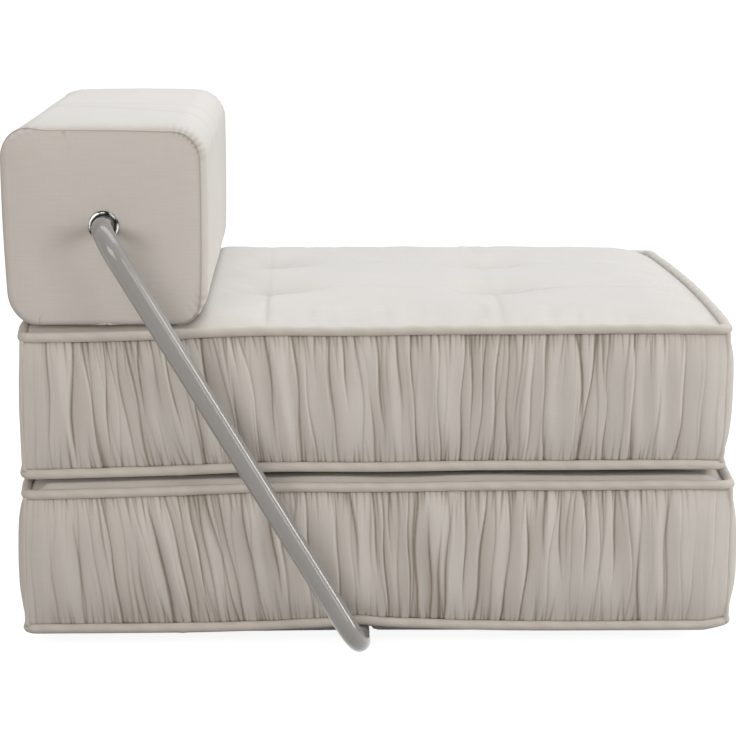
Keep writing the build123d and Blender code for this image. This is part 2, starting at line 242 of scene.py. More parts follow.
def make_cloth(name, colour, along_x=True):
    """Woven cloth of one base colour, darkened by painted shade in its folds, with its slubs along u or along
    v.
    """
    cloth = Finish(
        name, Roughness=0.92, Sheen_Weight=0.12, Sheen_Roughness=0.45, Specular_IOR_Level=0.25
    )
    uv = cloth.node("ShaderNodeUVMap", {"uv_map": CLOTH_UV}, {})
    along, across = (slub_long, slub_thin) if along_x else (slub_thin, slub_long)
    slubs = cloth.noise(cloth.stretch(uv, (along, across, 1)), 1.0, 2.0)
    cross = cloth.noise(cloth.stretch(uv, (across, along, 1)), 1.0, 2.0)
    cloudy = cloth.noise(uv, 9.0, 3.0)
    shade = (slubs - 0.5) * 0.80 + (cross - 0.5) * 0.40 + (cloudy - 0.5) * 0.35 + 0.5
    pale = (*[min(1, part * 1.08) for part in colour], 1)
    deep = (*[part * 0.92 for part in colour], 1)
    # The attribute read here holds painted shade, which mixes the colour towards a darker, warmer one.
    fold_shade = cloth.node("ShaderNodeAttribute", {"attribute_name": FOLD_SHADE}, {}, 2)
    shade_colour = (*[part * share for part, share in zip(colour, shade_shares)], 1)
    cloth.feed("Base Color", cloth.mix(fold_shade * 0.9, cloth.mix(shade, deep, pale), shade_colour))
    u, v = cloth.split(uv)
    turn = 2 * math.pi / THREAD
    threads = (u * turn).sine() * (v * turn).sine()
    cloth.bump(threads * 0.5 + slubs * 0.9 + cross * 0.5, 0.25 * MM, 0.55)
    return cloth.material


# Painted light and shade on one fabric: lighter on the bolster, darker and warmer on the welts and sides.
panel_cloth = make_cloth("panel_cloth", (0.738, 0.713, 0.688))
gathered_cloth = make_cloth("gathered_cloth", (0.735, 0.705, 0.672), along_x=False)
welt_cloth = make_cloth("welt_cloth", (0.716, 0.680, 0.634))
bolster_cloth = make_cloth("bolster_cloth", (0.772, 0.742, 0.712))
print("cloths:", panel_cloth.name, gathered_cloth.name, welt_cloth.name, bolster_cloth.name)

# %% [markdown]
# ## Paint, chrome and the hidden materials
# The tube has a grey powder coat with a clear top, which gives a thin line of light along each bend. Its
# skin has the faint orange peel of sprayed powder. The eyelet is bright chrome. Its colour has strong light
# and dark clouds, a painted reflection of the dark room that real chrome mirrors and this pale studio lacks.
# Foam, twine, the zinc plated screws and the plastic sleeve are inside, where nobody looks, but they are
# still finished, because the piece may be taken apart.

# %% Make the hard finishes
def make_grained(name, colour, scale, depth, spread=0.06, contrast=1.0, **constants):
    """Colour clouds, mild tone on most and a strong painted reflection on chrome, and a fine grain."""
    finish = Finish(name, **constants)
    place = finish.node("ShaderNodeTexCoord", {}, {}, 3)
    tone_and_reflection = finish.noise(place, scale * 0.12, 3.0)
    grain = finish.noise(place, scale, 2.0)
    pale = (*[min(1, part * (1 + spread)) for part in colour], 1)
    deep = (*[part * (1 - spread) for part in colour], 1)
    finish.feed("Base Color", finish.mix((tone_and_reflection - 0.5) * contrast + 0.5, deep, pale))
    finish.bump(grain, depth)
    return finish.material


painted = make_grained(
    "painted_tube", (0.262, 0.251, 0.244), 900, 0.012 * MM, Roughness=0.42, Coat_Weight=1.0,
    Coat_Roughness=0.05, Coat_IOR=1.6
)
# The chrome's strong colour clouds are a painted reflection of a dark room.
chrome = make_grained(
    "eyelet_chrome", (0.40, 0.40, 0.41), 900, 0.004 * MM, 0.93, 6.0, Metallic=1.0, Roughness=0.07
)
zinc = make_grained("bare_steel", (0.55, 0.55, 0.56), 700, 0.02 * MM, Metallic=1.0, Roughness=0.38)
foam = make_grained("foam", (0.80, 0.76, 0.64), 900, 0.4 * MM, Roughness=0.95)
twine = make_grained("twine", (0.72, 0.66, 0.55), 1500, 0.2 * MM, Roughness=0.9)
plastic = make_grained("liner_plastic", (0.78, 0.78, 0.76), 300, 0.02 * MM, Roughness=0.4)
print("hard finishes:", painted.name, chrome.name, zinc.name)

# %% [markdown]
# ## Dress the frame's own pieces
# Tubes, screws and ties keep the shape that the frame gives them, so they only need a finish. The record
# names a slot for each node, and one loop puts the right finish on all of them.

# %% Put the hard finishes on the frame's own pieces
hard_finishes = {
    "painted_tube": painted,
    "eyelet_chrome": chrome,
    "bare_steel": zinc,
    "foam": foam,
    "twine": twine,
    "liner_plastic": plastic,
}
hard_rows = [row for row in frame["record"]["subparts"] if row["material_slot"] in hard_finishes]
for row in hard_rows:
    materials = frame["nodes"][row["node"]].data.materials
    materials.clear()
    materials.append(hard_finishes[row["material_slot"]])
print("finished nodes:", len(hard_rows))

# %% [markdown]
# ## Cloth from a grid
# Every soft piece starts as a plain grid from bmesh, whose x and y are shares from 0 to 1. A rule then says
# where each share goes in space, for all points at once, and how much painted shade it gets from lying in a
# fold or a gap. The UV map is in metres, so that the weave keeps its size. Sculpting by hand would do for
# one cushion, but a rule makes all four sides of both mattresses, fits them to the frame and gives the same
# cloth each time.

# %% Helpers for cloth pieces
def empty_cloth():
    """A bmesh with the layers that cloth needs, and nothing in it."""
    made = bmesh.new()
    made.loops.layers.uv.new(CLOTH_UV)
    made.verts.layers.float.new(FOLD_SHADE)
    return made


def share_grid(columns, rows):
    """A grid from 0 to 1 both ways."""
    made = empty_cloth()
    place = Matrix.Translation((0.5, 0.5, 0))
    bmesh.ops.create_grid(
        made, x_segments=columns, y_segments=rows, size=0.5, matrix=place, calc_uvs=True
    )
    return made


def shape(made, rule, cloth_size):
    """Sends each point where the rule says, which may also give the point painted shade for lying in a fold.
    """
    shares = np.array([vert.co for vert in made.verts])
    answer = rule(shares[:, 0], shares[:, 1])
    places, folds = answer if isinstance(answer, tuple) else (answer, np.zeros(len(shares)))
    uv = made.loops.layers.uv[CLOTH_UV]
    fold_shade = made.verts.layers.float[FOLD_SHADE]
    for face in made.faces:
        for loop in face.loops:
            co = loop.vert.co
            loop[uv].uv = (co.x * cloth_size[0], co.y * cloth_size[1])
    for vert, place, depth in zip(made.verts, places, folds):
        vert.co = place
        vert[fold_shade] = depth


def lay_flat(made, first, second):
    """Takes the cloth's map from two coordinates of its places, as on a piece that is cut flat."""
    uv = made.loops.layers.uv[CLOTH_UV]
    for face in made.faces:
        for loop in face.loops:
            loop[uv].uv = (loop.vert.co[first], loop.vert.co[second])


print("a grid of cloth has the map", CLOTH_UV, "and the layer", FOLD_SHADE)

# %% [markdown]
# ## From a grid to a piece
# A shaped grid is welded where its edges meet, or closed from behind, and becomes a mesh with its finish. It
# is then tied to its body and stands for the solids that it replaces, which are hidden.

# %% Helpers that join, close and dress
def weld(made):
    """Joins the edges of a grid that meet, as where a tube closes."""
    bmesh.ops.remove_doubles(made, verts=made.verts, dist=0.01 * MM)


def close_back(made, to_back):
    """Closes a sheet from behind: its rim is carried to its back, and one face fills that."""
    rim = [edge for edge in made.edges if edge.is_boundary]
    back = bmesh.ops.extrude_edge_only(made, edges=rim)["geom"]
    for vert in (part for part in back if isinstance(part, bmesh.types.BMVert)):
        vert.co = to_back(vert.co)
    bmesh.ops.edgeloop_fill(made, edges=[edge for edge in made.edges if edge.is_boundary])


def add_to(whole, made):
    """Moves one bmesh into another."""
    part = bpy.data.meshes.new("part")
    made.to_mesh(part)
    made.free()
    whole.from_mesh(part)
    bpy.data.meshes.remove(part)


def smoothstep(value, start, end):
    """From 0 at the start to 1 at the end, level at both."""
    share = np.clip((value - start) / (end - start), 0, 1)
    return share * share * (3 - 2 * share)


def stack(x, y, z):
    """Coordinates put together as places."""
    return np.stack(np.broadcast_arrays(x, y, z), axis=-1)


def dress(name, made, body, slot, finish, *nodes):
    """Turns a bmesh into a piece that stands for its nodes and rides on its body."""
    bmesh.ops.recalc_face_normals(made, faces=made.faces)
    mesh = bpy.data.meshes.new(name)
    made.to_mesh(mesh)
    made.free()
    mesh.materials.append(finish)
    mesh.shade_smooth()
    piece = bpy.data.objects.new(name, mesh)
    scene.collection.objects.link(piece)
    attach(piece, body)
    if nodes:
        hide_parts(*nodes)
    return piece


print("the step from 0 to 1 at its middle:", smoothstep(0.5, 0, 1))

# %% [markdown]
# ## How the stack settles
# Nothing sewn is ruler straight. The bolster's weight presses the rear corners of both mattresses down by
# about a centimetre, the front swells forward, most of all in the middle, and the lower mattress, which
# carries more, is squeezed a little longer. Every seam wanders by a millimetre. All of that is one rule on
# places in space, applied to each soft piece after it is made, so neighbours move together and their seams
# stay shut.

# %% The settling rule
sag_depth = 10 * MM
sag_start_x = -0.10
sag_full_x = -0.46
sag_inner_y = 0.40
front_bow = 11 * MM
wander = 0.7 * MM


def coordinates_of(mesh):
    """The places of a mesh's points, as one array."""
    co = np.empty(len(mesh.vertices) * 3)
    mesh.vertices.foreach_get("co", co)
    return co.reshape(-1, 3)


def place_points(piece, co):
    """Puts the points of a piece at their new places."""
    piece.data.vertices.foreach_set("co", co.ravel())
    piece.data.update()


def settle(piece, mattress):
    """Lowers the rear corners of a soft piece, swells its front and lets its seams wander."""
    co = coordinates_of(piece.data)
    x, y, z = co.T
    along = smoothstep(-x, -sag_start_x, -sag_full_x)
    across = smoothstep(np.abs(y), sag_inner_y, upper.side)
    height = smoothstep(z, lower.base, lower.top)
    forward = smoothstep(x, 0.05, mattress.front)
    level = np.clip((z - mattress.base) / (mattress.top - mattress.base), 0, 1)
    squeezed = mattress.front_squeeze[0] * (1 - level) + mattress.front_squeeze[1] * level
    beat = np.sin(x * 9.0 + y * 4.0 + 0.6) + 0.6 * np.sin(x * 23.0 - y * 7.0 + z * 5.0)
    z -= sag_depth * along * across * height
    z += wander * beat * height * across
    x += forward * (squeezed + front_bow * (1 - (y / mattress.side) ** 2).clip(0))
    place_points(piece, co)


lower.front_squeeze = (10 * MM, 13 * MM)
upper.front_squeeze = (-1 * MM, 5 * MM)
print("sag at the rear corners:", sag_depth)

# %% [markdown]
# ## Gathered sides
# Each side is a strip of cloth half as long again as the mattress, drawn up on a thread at both seams. The
# surplus stands in pleats. A pleat has a steep lip on one side and a slow slope on the other, starts at one
# seam or both, and fades where the cloth is taut. At the seams themselves the gathers are finer. The sides
# bulge with the padding behind them and lie almost flat near the corners. Cloth simulation could draw the
# pleats up, but a thousand of them need far too fine a mesh, and none would start where it should.

# %% How a pleat runs
def crease(offset, sharp, soft):
    """One at a pleat's line, with a steep lip before it and a slow slope after it."""
    return np.where(offset < 0, np.exp(-((offset / sharp) ** 2)), np.exp(-np.abs(offset) / soft))


def uneven_places(dice, length, pitch):
    """Places along a seam whose spacing is never the same twice."""
    places = [-length / 2 + pitch * dice.random()]
    while places[-1] < length / 2:
        places.append(places[-1] + pitch * dice.uniform(0.4, 1.6))
    return places[:-1]


fold_limit = 7.5 * MM
# Width of the painted dark line along each pleat.
shade_line = 1.05 * MM
fold_kinds = (
    (24 * MM, (2.6, 6.4), (1.2, 2.2), (5, 12), (0.35, 0.85)),
    (17 * MM, (0.8, 2.4), (0.9, 1.6), (2.5, 6), (0.20, 0.50)),
)


def pleats(dice, u, v, length):
    """How deep a point lies in the long pleats, and how much painted shade its dark line gives it."""
    depth, painted_dark = np.zeros_like(u), np.zeros_like(u)
    for pitch, sizes, lips, slopes, reaches in fold_kinds:
        for place in uneven_places(dice, length, pitch):
            reach = dice.choices(("whole", "top", "base"), (45, 25, 30))[0]
            fade = dice.uniform(*reaches)
            drift = dice.gauss(0, 6 * MM)
            bow = dice.gauss(0, 3 * MM)
            size = dice.uniform(*sizes) * MM
            side = 1 if dice.random() < 0.72 else -1
            lip = dice.uniform(*lips) * MM
            slope = dice.uniform(*slopes) * MM
            wave = dice.uniform(0, 6.28)
            line = place + drift * (0.5 - v) + bow * np.sin(math.pi * v) + 1.2 * MM * np.sin(9 * v + wave)
            waist = 0.6 * dice.random()
            window = {
                "whole": 1 - waist * np.sin(math.pi * v),
                "top": smoothstep(v, 1 - fade - 0.3, 1 - fade + 0.3),
                "base": 1 - smoothstep(v, fade - 0.3, fade + 0.3),
            }[reach]
            window = window * (1 + 0.25 * np.sin(5 * v + wave))
            taper = 0.4 + 0.6 * np.clip(window, 0, 1)
            offset = side * (u - line)
            depth += size * window * crease(offset, lip * taper, slope * taper)
            # Painted shade: a thin dark line just past each pleat's line.
            line_shade = np.exp(-(((offset - 0.3 * MM) / (shade_line * taper)) ** 2))
            painted_dark += size / (4 * MM) * window * line_shade
    return fold_limit * np.tanh(depth / fold_limit), painted_dark


print("a pleat is", crease(np.array([0.0]), 1, 1)[0], "deep at its line")

# %% [markdown]
# ## Fine gathers
# The thread pinches the cloth at both seams into many small gathers. They fade within a finger's width or
# two, some sooner than others.

# %% How the thread gathers the cloth
gather_pitch = 8.5 * MM


def gathers(dice, u, v, length, height):
    """The fine pinches of the thread at both seams, with painted shade in each."""
    depth, painted_dark = np.zeros_like(u), np.zeros_like(u)
    for level in (0, 1):
        rise = np.abs(v - level) * height
        for place in uneven_places(dice, length, gather_pitch):
            side = dice.choice((-1, 1))
            size = dice.uniform(0.8, 2.6) * MM
            near = np.exp(-((rise / (dice.uniform(9, 34) * MM)) ** 1.5))
            offset = side * (u - place - dice.gauss(0, 0.06) * rise)
            depth += size * near * crease(offset, 1.1 * MM, 3.2 * MM)
            # Painted shade along the valley of each pinch.
            painted_dark += 0.42 * size / MM * near * np.exp(-((offset / (1.1 * MM)) ** 2))
    return depth, painted_dark


print("gathers every", gather_pitch, "on average")

# %% [markdown]
# ## One side of a mattress
# The strip runs a little past both corners, where the upright welts cover its ends. Its pleats lean where
# the photograph shows the cloth pulled aslant. Its rim is carried back to the foam and closed, so the piece
# is a solid pad and not a sheet without thickness.

# %% Make a gathered side
column_width = 1.2 * MM
row_height = 4 * MM
seam_out = 8.5 * MM
side_bulge = 12 * MM
rear_bulge = 5 * MM
fold_corner_run = 0.085
bulge_corner_run = 0.032
seam_overrun = 6 * MM


def gathered_side(mattress, side, origin, along, outward, length, seed, leans, fullest):
    """A closed strip of gathered cloth with a flat back against the foam."""
    height = mattress.top - mattress.base
    reach = length + 2 * seam_overrun
    made = share_grid(round(reach / column_width), round(height / row_height))
    origin, along, outward = Vector(origin), Vector(along), Vector(outward)

    def rule(across, up):
        dice = random.Random(seed)
        strip = (across - 0.5) * reach
        from_corner = reach / 2 - np.abs(strip)
        taut = np.where(strip * along.x > 0, 1.45, 0.8)
        full_fold = smoothstep(from_corner, 0, fold_corner_run * taut)
        full_bulge = smoothstep(from_corner, 0, bulge_corner_run)
        shift = sum(
            slant * np.exp(-(((strip - centre) / spread) ** 2)) for slant, centre, spread in leans
        )
        shift = shift * full_fold * (0.5 - up)
        folds, painted_dark = pleats(dice, strip, up, reach)
        pinches, pinch_shade = gathers(dice, strip, up, reach, height)
        folds = folds * (0.22 + 0.78 * full_fold) + pinches * full_fold
        painted_dark = painted_dark * (0.15 + 0.85 * full_fold) + pinch_shade * full_fold
        folds *= smoothstep(from_corner, 0, 12 * MM)
        swell = 1 - np.abs(2 * up - 1) ** 3.2
        waves = 2.0 * MM * np.sin(strip * 130 + 2 * np.sin(strip * 37 + seed) + 1.5 * up) * full_fold
        bulge = fullest * (0.42 + 0.58 * full_bulge) * swell
        tuck = 3.5 * MM * np.exp(-from_corner / (4 * MM))
        out = seam_out + bulge + (waves + 2.2 * MM) * swell - tuck - folds * (0.7 + 0.3 * swell)
        x = origin.x + along.x * (strip + shift) + outward.x * out
        y = origin.y + along.y * (strip + shift) + outward.y * out
        z = mattress.base + up * height
        # Painted shade from the dark lines and from how deep the cloth is folded.
        return stack(x, y, z), np.clip(0.85 * painted_dark + folds / (14 * MM), 0, 1)

    shape(made, rule, (reach * 1.5, height))
    close_back(made, lambda place: place - outward * (place - origin).dot(outward))
    node = f"{mattress.prefix}_border_{side}"
    piece = dress(node + "_cloth", made, mattress.body, "gathered_cloth", gathered_cloth, node)
    raise_over_bar(piece, mattress)
    settle(piece, mattress)
    return piece


# %% [markdown]
# ## Over the floor bar
# The lower mattress lies on the tube that runs under it, so its underside, its lowest welt and the foot of
# its two sides rise over the bar in a short smooth hump. At the front, where little weight lies on it, its
# foot is drawn up by a few millimetres.

# %% The hump rule
hump_half = 20 * MM
front_lift = 5.5 * MM


def hump(x):
    """How high the underside lies at a place along the mattress."""
    return (2 * tube_radius + 0.6 * MM) * np.exp(-(np.abs((x - bar_x) / hump_half) ** 2.6))


def edge_lift(x):
    """How much the foot of the sides rises: round the bar, more right on it, and at the front."""
    full = 2 * tube_radius + 0.6 * MM - (lower.base - 2 * lower.welt)
    wide = np.exp(-(((x - bar_x) / (150 * MM)) ** 2))
    narrow = np.exp(-(((x - bar_x) / (30 * MM)) ** 2))
    front = smoothstep(x, lower.front - 30 * MM, lower.front + 6 * MM)
    return full * (0.66 * wide + 0.34 * narrow) + front_lift * front


def raise_over_bar(piece, mattress):
    """Lifts what lies low in the lower mattress over the bar."""
    if not mattress.over_bar:
        return
    co = coordinates_of(piece.data)
    x, y, z = co.T
    height = mattress.top - mattress.base
    fade = 1 - np.clip((z - mattress.base) / (0.5 * height), 0, 1)
    z += edge_lift(x) * fade**2
    place_points(piece, co)


# %% [markdown]
# ## All eight sides
# Each side has a seed of its own, so no two have the same pleats and every run gives the same ones.

# %% Sew the eight sides
side_seeds = {"near": 11, "far": 23, "front": 37, "rear": 41}
near_leans = ((0.038, -0.27, 0.16), (-0.010, 0.22, 0.10), (0.008, 0.0, 0.08))
for mattress, extra in ((lower, 0), (upper, 100)):
    length, width = mattress.front - mattress.rear, 2 * mattress.side
    sides = {
        "near": ((mattress.middle, -mattress.side, 0), (1, 0, 0), (0, -1, 0), length, near_leans),
        "far": ((mattress.middle, mattress.side, 0), (-1, 0, 0), (0, 1, 0), length, near_leans[::2]),
        "front": ((mattress.front, 0, 0), (0, 1, 0), (1, 0, 0), width, near_leans[1:]),
        "rear": ((mattress.rear, 0, 0), (0, -1, 0), (-1, 0, 0), width, near_leans[:1]),
    }
    for side, (origin, along, outward, reach, leans) in sides.items():
        fullest = rear_bulge if (mattress is upper and side == "rear") else side_bulge
        seed = side_seeds[side] + extra
        gathered_side(mattress, side, origin, along, outward, reach, seed, leans, fullest)
    print(mattress.prefix, "has its four sides")

# %% [markdown]
# ## Round welts
# A welt is a strip of the same cloth sewn round a thick cord. A curve with a round bevel would make it, but
# a grid keeps the cloth's map: one share runs along the edge, with tight turns at the corners, and the other
# round the cord. So the first step is a line round a rectangle, which the bolster's section needs as well.

# %% The line of a rounded rectangle
def rounded_outline(half_u, half_v, corner, share):
    """Places and outward angles round a rectangle with round corners, from shares of its whole length."""
    flat_u, flat_v = half_u - corner, half_v - corner
    quarter = corner * math.pi / 2
    total = 4 * (flat_u + flat_v + quarter)
    travel = (share % 1.0) * total
    u, v, facing = (np.zeros_like(travel) for part in range(3))
    start = 0.0
    for number in range(4):
        out = math.radians(90 * number - 90)
        out_u, out_v = math.cos(out), math.sin(out)
        run = 2 * (flat_v if number % 2 else flat_u)
        end_u, end_v = (out_u - out_v) * flat_u, (out_u + out_v) * flat_v
        here = (travel >= start) & (travel < start + run)
        back = start + run - travel[here]
        u[here] = end_u + out_u * corner + out_v * back
        v[here] = end_v + out_v * corner - out_u * back
        facing[here] = out
        start += run
        here = travel >= start
        facing[here] = out + (travel[here] - start) / corner
        u[here] = end_u + corner * np.cos(facing[here])
        v[here] = end_v + corner * np.sin(facing[here])
        start += quarter
    return u, v, facing, total


# %% [markdown]
# ## Four long welts
# The tube is a little uneven, and the strip's ends overlap in a small lump, where the photograph shows it.
# Painted shade draws faint rucks round it and darkens its cloth where it dips into the seam.

# %% Make the four long welts
welt_join_share = 0.0555
welt_columns = 1100
welt_sides = 20


def long_welt(mattress, node, level, seed):
    """One closed welt, from the edge line and the level of its cord."""
    dice = random.Random(seed)
    waves = [(dice.randint(9, 60), dice.uniform(0, 6.28), dice.uniform(0.2, 0.5)) for wave in range(6)]
    made = share_grid(welt_columns, welt_sides)

    def rule(along, around):
        half_x = (mattress.front - mattress.rear) / 2 + mattress.welt
        half_y = mattress.side + mattress.welt
        x, y, facing, total = rounded_outline(half_x, half_y, 2 * mattress.welt, along)
        uneven = sum(size * np.sin(count * 2 * math.pi * along + start) for count, start, size in waves)
        join = np.exp(-(((along - welt_join_share) * total / (5 * MM)) ** 2))
        radius = mattress.welt * (1 + 0.018 * uneven + 0.10 * join)
        turn = 2 * math.pi * around + math.pi
        out = radius * np.cos(turn) + 0.25 * MM * uneven
        x = mattress.middle + x + np.cos(facing) * out
        y = y + np.sin(facing) * out
        z = level + radius * np.sin(turn) + 0.15 * MM * uneven
        # Painted shade: faint bands round the cord, and more on the side that dips into the seam.
        ruck_shade = 0.5 + 0.5 * np.sin(along * total / (7 * MM) + 1.3 * np.sin(turn))
        tuck = 0.35 * np.clip(-np.cos(turn), 0, 1) ** 3
        return stack(x, y, z), np.clip(tuck + 0.10 * ruck_shade, 0, 1)

    shape(made, rule, (3.8, 44 * MM))
    weld(made)
    return dress(node + "_cloth", made, mattress.body, "welt_cloth", welt_cloth, node)


for mattress, seed in ((lower, 5), (upper, 6)):
    base_welt = long_welt(
        mattress, mattress.prefix + "_bottom_welt", mattress.base - mattress.welt, seed
    )
    raise_over_bar(base_welt, mattress)
    settle(base_welt, mattress)
    top_welt = long_welt(mattress, mattress.prefix + "_top_welt", mattress.top + mattress.welt, seed + 10)
    settle(top_welt, mattress)
    print(mattress.prefix, "welts at", round(mattress.base, 3), round(mattress.top, 3))

# %% [markdown]
# ## Upright welts at the corners
# A thinner welt closes each corner. It runs between the two long welts, follows the bulge of the sides a
# little, and its ends vanish under the long ones.

# %% Make the corner welts
corner_welt_radius = 3.6 * MM


def corner_welts(mattress):
    """Four upright cords in one piece."""
    whole = empty_cloth()
    height = mattress.top - mattress.base
    for end_x in (mattress.rear, mattress.front):
        for end_y in (-mattress.side, mattress.side):
            out_x = 1 if end_x > mattress.middle else -1
            out_y = 1 if end_y > 0 else -1
            made = share_grid(48, 16)

            def rule(up, around):
                swell = 6.5 * MM + 1.8 * MM * np.sin(math.pi * up)
                turn = 2 * math.pi * around
                x = end_x + out_x * swell + corner_welt_radius * np.cos(turn)
                y = end_y + out_y * swell + corner_welt_radius * np.sin(turn)
                z = mattress.base - 3 * MM + up * (height + 6 * MM)
                return stack(x, y, z)

            shape(made, rule, (height, 30 * MM))
            weld(made)
            bmesh.ops.holes_fill(made, edges=[edge for edge in made.edges if edge.is_boundary])
            add_to(whole, made)
    node = mattress.prefix + "_corner_welts"
    piece = dress(node + "_cloth", whole, mattress.body, "welt_cloth", welt_cloth, node)
    settle(piece, mattress)


corner_welts(lower)
corner_welts(upper)
print("eight corner welts")

# %% [markdown]
# ## Foam
# The foam blocks follow the same settling, so that no corner of them pokes through the cover above it.

# %% Make the foam blocks
foam_cuts = 47
foam_gap = 2 * MM


def foam_block(mattress):
    """A block, cut finely enough to follow the hump and the sag."""
    made = bmesh.new()
    size = (mattress.front - mattress.rear, 2 * mattress.side, mattress.top - mattress.base)
    place = Matrix.Translation((mattress.middle, 0, (mattress.base + mattress.top) / 2))
    scale = Matrix.Diagonal((*[side - foam_gap for side in size], 1))
    bmesh.ops.create_cube(made, size=1, matrix=place @ scale)
    bmesh.ops.subdivide_edges(made, edges=made.edges[:], cuts=foam_cuts, use_grid_fill=True)
    node = mattress.prefix + "_core"
    piece = dress(node + "_foam", made, mattress.body, "foam", foam, node)
    raise_over_bar(piece, mattress)
    settle(piece, mattress)


foam_block(lower)
foam_block(upper)
print("two foam blocks")

# %% [markdown]
# ## Padded panels
# A panel is wadding under cloth. Three of the four are pressed nearly flat, with soft rounded edges that
# tuck in behind the welt. The seat is the fourth: it is crowned, pressed down under the bolster, sewn into
# nine fields and pulled in at four tufts.

# %% Rules for the panels' heights
def inward(mattress, x, y):
    """The distance of a point from the nearest edge of the foam, along x and along y."""
    return np.minimum(x - mattress.rear, mattress.front - x), mattress.side - np.abs(y)


def edge_rise(mattress, x, y, run, power):
    """From 0 at a panel's edge to 1 where it is level."""
    from_x, from_y = inward(mattress, x, y)
    rise_x = 1 - (1 - np.clip(from_x / run, 0, 1)) ** power
    rise_y = 1 - (1 - np.clip(from_y / run, 0, 1)) ** power
    return rise_x * rise_y


def crowd(share, amount=0.12):
    """Draws the rows of a grid together towards both edges."""
    return share - amount * np.sin(2 * math.pi * share)


def panel_place(mattress, along, across):
    """The place in x and y of a panel's shares."""
    x = mattress.rear + crowd(along) * (mattress.front - mattress.rear)
    return x, (crowd(across) * 2 - 1) * mattress.side


panel_tuck = 5 * MM


def panel(mattress, node, columns, rows, height_of, foam_level, swelling=None):
    """A closed pad: a shaped face, which may have filled out, and a flat back on the foam."""
    made = share_grid(columns, rows)

    def rule(along, across):
        x, y = panel_place(mattress, along, across)
        answer = height_of(x, y)
        height, folds = answer if isinstance(answer, tuple) else (answer, np.zeros_like(x))
        places = stack(x, y, height)
        return places if swelling is None else places + swelling(along, across), folds

    shape(made, rule, (1, 1))
    lay_flat(made, 0, 1)
    close_back(made, lambda place: (place.x, place.y, foam_level))
    return dress(node + "_pad", made, mattress.body, "panel_cloth", panel_cloth, node)


# %% [markdown]
# ## Three pressed panels
# Along the two long sides the weight above squeezes the lower mattress's top out right behind its welt. It
# stands there as a second pale line. Above it stays a dark gap, so the upper mattress can slide off the
# front. Hardly any light gets into the gap, so painted shade darkens the cloth of both faces there, and it
# stays on the lower top when the upper mattress slides off.

# %% Make the pressed panels
pressed_run = 60 * MM
under_run = 95 * MM
roll_run = 5 * MM


def gap_shade(mattress, x, y):
    """Where painted shade lies in the gap between the mattresses, from behind the welt to where they meet."""
    inside = np.minimum(*inward(mattress, x, y))
    return smoothstep(inside, 2 * MM, 30 * MM) * (1 - smoothstep(inside, 30 * MM, 75 * MM))


def lower_top(x, y):
    """The top of the lower mattress, with the roll that is squeezed out behind its welt."""
    from_x, from_y = inward(lower, x, y)
    edge = lower.top + panel_tuck
    level = edge + (lower.crest - edge) * edge_rise(lower, x, y, pressed_run, 2)
    full = smoothstep(from_x, 0, 30 * MM)
    rise = 1 - (1 - np.clip(from_y / roll_run, 0, 1)) ** 2.2
    uneven = (1.9 + 1.1 * np.sin(19 * x + 2 * np.sin(7 * x))) * MM * np.exp(-from_y / (40 * MM))
    rolled = edge + (lower.crest - uneven - edge) * rise
    # Painted shade in the gap above the roll.
    return level + (np.maximum(rolled, level) - level) * full, 0.22 * gap_shade(lower, x, y)


def upper_under(x, y):
    """The underside of the upper mattress."""
    edge = upper.base - panel_tuck
    # The underside's painted shade in the gap is at full strength.
    return edge + (upper.under - edge) * edge_rise(upper, x, y, pressed_run, 2), gap_shade(upper, x, y)


def lower_under(x, y):
    """The underside of the lower mattress, over the floor bar."""
    edge = lower.base - panel_tuck + edge_lift(x)
    level = edge + (lower.under - edge) * edge_rise(lower, x, y, under_run, 2)
    return np.maximum(level, hump(x))


pressed = (
    (lower, "lower_top_panel", 120, lower_top, lower.top, 0.5),
    (upper, "upper_bottom_panel", 120, upper_under, upper.base, 0.5),
    (lower, "lower_bottom_panel", 280, lower_under, lower.base + 8 * MM, 0.4),
)
for mattress, node, columns, height_of, level, fill in pressed:
    pad = panel(mattress, node, columns, 150, height_of, level)
    settle(pad, mattress)
print("pressed panels done")

# %% [markdown]
# ## The seat
# The crown rises from the welts over a hand's width. Four tufts pull it in, and each lies where two seams
# cross. The seams are fine grooves in shallow valleys, which show most near the camera. Each tuft is a wide
# dip with a small pit in it and a curved crease before it, and small folds run out from it.

# %% The seat's seams and tufts
tuft_rows = (upper.rear - 2 * upper.welt + 0.350, upper.rear - 2 * upper.welt + 0.680)
tuft_half_spread = 0.150
valley_half = 26 * MM
groove_half = 1.8 * MM


def groove(offset, half, depth):
    """A sharp-bottomed groove that fades to both sides."""
    return depth * np.exp(-np.abs(offset) / half)


def seams(x, y):
    """How near a point is to the valleys and to the grooves of the seams."""
    nearer = 0.25 + 0.75 * smoothstep(-y, tuft_half_spread - 20 * MM, tuft_half_spread + 20 * MM)
    fronter = 0.35 + 0.65 * smoothstep(x, tuft_rows[1] - 20 * MM, tuft_rows[1] + 20 * MM)
    wide = sum(groove(x - row, valley_half, nearer) for row in tuft_rows)
    fine = sum(groove(x - row, groove_half, nearer) for row in tuft_rows)
    wide = wide + groove(np.abs(y) - tuft_half_spread, valley_half, fronter)
    fine = fine + groove(np.abs(y) - tuft_half_spread, groove_half, fronter)
    return wide, fine


